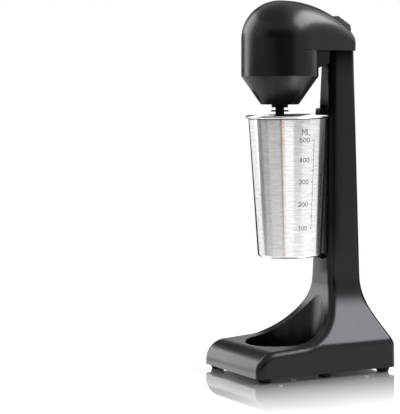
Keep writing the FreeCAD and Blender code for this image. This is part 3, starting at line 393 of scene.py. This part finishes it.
def paint_all():
    paint(SATIN, "head_housing", "arm_cover")
    paint(STAND, "stand_housing")
    paint(CONE, "motor_cone")
    paint(TRIM, "neck_collar", "cup_trigger", "switch_bezel", "spindle_sleeve", "splash_disc")
    paint(ROCKER, "switch_rocker")
    paint(BASE_PLATE, "base_plate")
    paint(INNER, "trigger_guide", "microswitch", "microswitch_plunger", "switch_body", "terminal_block",
          "cooling_fan", "brush_holders", "board_components")
    paint(CUP, "mixing_cup")
    paint(STEEL, "agitator_rod", "whisk_disc_upper", "whisk_hub", "whisk_disc_lower", "whisk_nut",
          "spindle_shaft", "rocker_pin", "trigger_spring", "lower_bearing", "upper_bearing")
    paint(SCREW, *(place + "_screws" for place in
                   ("base", "ballast", "board", "column", "cover", "cone", "motor")))
    paint(RUBBER, "cable_grommet", *("foot_%s_%s" % (row, side) for row in ("front", "middle", "rear")
                                     for side in ("left", "right")))
    paint(LEAD, "supply_lead")
    paint(SHEET, "ballast_plate", "motor_can", "motor_end_cap", "motor_plate")
    paint(IRON, "armature", "field_magnets")
    paint(COPPER, "commutator")
    paint(CARBON, "carbon_brushes")
    paint(BOARD, "speed_board")


# ---------------------------------------------------------------- pieces
def add_mesh(name, verts, faces):
    mesh = bpy.data.meshes.new(name)
    mesh.from_pydata([tuple(v) for v in verts], [], faces)
    made = bpy.data.objects.new(name, mesh)
    scene.collection.objects.link(made)
    return made


def direction(azimuth, elevation=0.0):
    """Unit vector at an azimuth from +X and an elevation, both in degrees."""
    a, e = math.radians(azimuth), math.radians(elevation)
    return Vector((math.cos(a) * math.cos(e), math.sin(a) * math.cos(e), math.sin(e)))


class Etching:
    """Flat strokes laid on the cup's outer wall."""

    def __init__(self):
        self.verts, self.faces = [], []
        self.wall = BVHTree.FromObject(NODES["mixing_cup"], bpy.context.evaluated_depsgraph_get())

    def place(self, arc, z):
        """Point just proud of the wall."""
        out = direction(arc)
        start = Vector((0, CUP_Y, z)) + out * 0.08
        return self.wall.ray_cast(start, -out)[0] + out * MARK_PROUD

    def stroke(self, a, b, half):
        """One straight stroke from a to b, each an arc and a height."""
        run = Vector(((b[0] - a[0]) * ONE_DEGREE, b[1] - a[1]))
        side = Vector((-run.y, run.x)).normalized() * half
        end = run.normalized() * half
        first = len(self.verts)
        for (arc, z), sign in ((a, -1), (b, 1)):
            for turn in (-1, 1):
                across = (sign * end.x + turn * side.x) / ONE_DEGREE
                self.verts.append(self.place(arc + across, z + sign * end.y + turn * side.y))
        self.faces.append((first, first + 1, first + 3, first + 2))

    def text(self, letters, z, arc, width, height, half):
        """Letters from left to right as seen from outside, centred on a height."""
        for k, letter in enumerate(letters):
            start = arc + k * width * LETTER_PITCH / ONE_DEGREE
            for line in STROKES[letter]:
                points = [(start + x * width / ONE_DEGREE, z + (y - 0.5) * height) for x, y in line]
                for a, b in zip(points, points[1:]):
                    self.stroke(a, b, half)


def add_scale():
    """Millilitre scale etched on the cup: a line with ticks, numbers and the unit."""
    etching = Etching()
    heights = [CUP_FOOT + rise for rise in MARK_RISES.values()]
    etching.stroke((LINE_ARC, heights[0]), (LINE_ARC, heights[-1]), LINE_HALF)
    for z in heights:
        etching.stroke((LINE_ARC - TICK_ARC, z), (LINE_ARC, z), TICK_HALF)
    for low, high in zip(heights, heights[1:]):
        z = (low + high) / 2
        etching.stroke((LINE_ARC - SMALL_TICK_ARC, z), (LINE_ARC, z), SMALL_TICK_HALF)
    for value, z in zip(MARK_RISES, heights):
        etching.text(str(value), z, **NUMBER)
    etching.text("ML", CUP_FOOT + UNIT_RISE, **UNIT)
    scale = add_mesh("cup_scale", etching.verts, etching.faces)
    scale.data.materials.append(ETCHED)
    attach(scale, "cup")


# ---------------------------------------------------------------- camera
def add_camera():
    data = bpy.data.cameras.new("camera")
    data.lens, data.sensor_width = CAMERA_LENS, CAMERA_SENSOR
    data.shift_x = CAMERA_SHIFT
    data.clip_start, data.clip_end = CAMERA_CLIP
    camera = bpy.data.objects.new("camera", data)
    camera.location = CAMERA_PLACE
    camera.rotation_euler = (math.radians(CAMERA_TILT), 0, math.radians(CAMERA_TURN))
    scene.collection.objects.link(camera)
    scene.camera = camera


# ---------------------------------------------------------------- studio
def add_world():
    """White where it is seen or mirrored; a dimmer room as a source of light."""
    world = bpy.data.worlds.new("studio")
    t = Tree(world)
    t.nodes.clear()
    seen = t.node("ShaderNodeBackground", Color=(*WHITE, 1), Strength=1.0)
    room = t.node("ShaderNodeBackground", Color=ROOM_COLOUR, Strength=ROOM_LEVEL)
    out = t.node("ShaderNodeOutputWorld")
    t.link(t.mix(t.background_ray(), room.outputs[0], seen.outputs[0]), out.inputs[0])
    scene.world = world


def add_softbox(name, azimuth, elevation, width, height, radiance):
    """Softbox in a direction from the object, turned to face it."""
    data = bpy.data.lights.new(name, "AREA")
    data.shape = "RECTANGLE"
    data.size, data.size_y = width, height
    data.energy = radiance * math.pi * width * height
    lamp = bpy.data.objects.new(name, data)
    out = direction(azimuth, elevation)
    lamp.location = SOFTBOX_AIM + out * SOFTBOX_DISTANCE
    lamp.rotation_euler = (-out).to_track_quat("-Z", "Y").to_euler()
    lamp.visible_camera = False
    scene.collection.objects.link(lamp)


def stage_glow(item, level, tint=WHITE):
    """Plain glow on a stage piece that only reflections show, and the floor's sharp mirror doesn't."""
    t = new_material(item.name)
    glow = t.node("ShaderNodeEmission", Color=(*tint, 1), Strength=level)
    clear = t.node("ShaderNodeBsdfTransparent")
    sharp = t.node("ShaderNodeLightPath").outputs["Is Singular Ray"]
    t.link(t.mix(sharp, glow.outputs[0], clear.outputs[0]), t.nodes["Material Output"].inputs[0])
    t.nodes.remove(t.shader)
    item.data.materials.append(t.owner)
    item.visible_camera = False
    item.visible_diffuse = False
    item.visible_shadow = False


def add_card(name, start, end, radius, low, high, level, tint=WHITE):
    """Upright curved card between two azimuths, whose glow only reflections show."""
    steps = max(2, int(abs(end - start) / CARD_STEP))
    verts = []
    for k in range(steps + 1):
        out = direction(start + (end - start) * k / steps) * radius
        verts += [(out.x, CARD_Y + out.y, z) for z in (low, high)]
    faces = [(2 * k, 2 * k + 2, 2 * k + 3, 2 * k + 1) for k in range(steps)]
    stage_glow(add_mesh(name, verts, faces), level, tint)


def level_square(name, half, height):
    corners = [(-half, -half, height), (half, -half, height), (half, half, height), (-half, half, height)]
    return add_mesh(name, corners, [(0, 1, 2, 3)])


def length(t, a, b):
    """Square root of the sum of two squares."""
    return t.math("SQRT", t.math("ADD", t.times(a, a), t.times(b, b)))


def floor_distances(t):
    """Distances on the floor: from the middle of the base, and from the base's outline."""
    low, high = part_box("stand_housing")
    x, y, _ = t.split(t.position())
    past = [t.math("MAXIMUM", t.minus(t.math("ABSOLUTE", value), half), 0.0)
            for value, half in ((x, (high.x - low.x) / 2), (y, (high.y - low.y) / 2))]
    return length(t, x, y), length(t, *past)


def add_floor():
    """Pale floor: white where it is seen or mirrored, with the object's shadow and a fading reflection."""
    floor = level_square("studio_floor", FLOOR_HALF, 0)
    floor.location.z = -FLOOR_DROP
    t = new_material("floor_gloss_white")
    t.set(Base_Color=GLOSS_COLOUR, Roughness=0.6, Specular_IOR_Level=0.0)
    seen = t.background_ray()
    from_middle, from_base = floor_distances(t)
    mirror = t.node("ShaderNodeBsdfAnisotropic", Color=MIRROR_COLOUR, Roughness=0.0)
    white = t.node("ShaderNodeBsdfDiffuse", Color=PLAIN_COLOUR)
    clear = t.node("ShaderNodeBsdfTransparent")
    gloss = t.add_glow(t.add(t.shader.outputs[0], mirror.outputs[0]), t.times(seen, GLOSS_GLOW))
    plain = t.add_glow(white.outputs[0], t.times(seen, PLAIN_GLOW))
    spread = t.mix(t.ramp(from_base, (0.0, 0.0), (FLOOR_SPREAD, 1.0)), gloss, plain)
    near, far = FLOOR_FADE
    edge = t.times(t.ramp(from_middle, (near, 0.0), (far, 1.0)), seen)
    t.link(t.mix(edge, spread, clear.outputs[0]), t.nodes["Material Output"].inputs[0])
    floor.data.materials.append(t.owner)


paint_all()
add_scale()
add_camera()
add_world()
add_floor()
for softbox in SOFTBOXES:
    add_softbox(*softbox)
for card in CARDS:
    add_card(*card)
stage_glow(level_square("flag_ceiling", CEILING_HALF, CEILING_HEIGHT), CEILING_LEVEL)
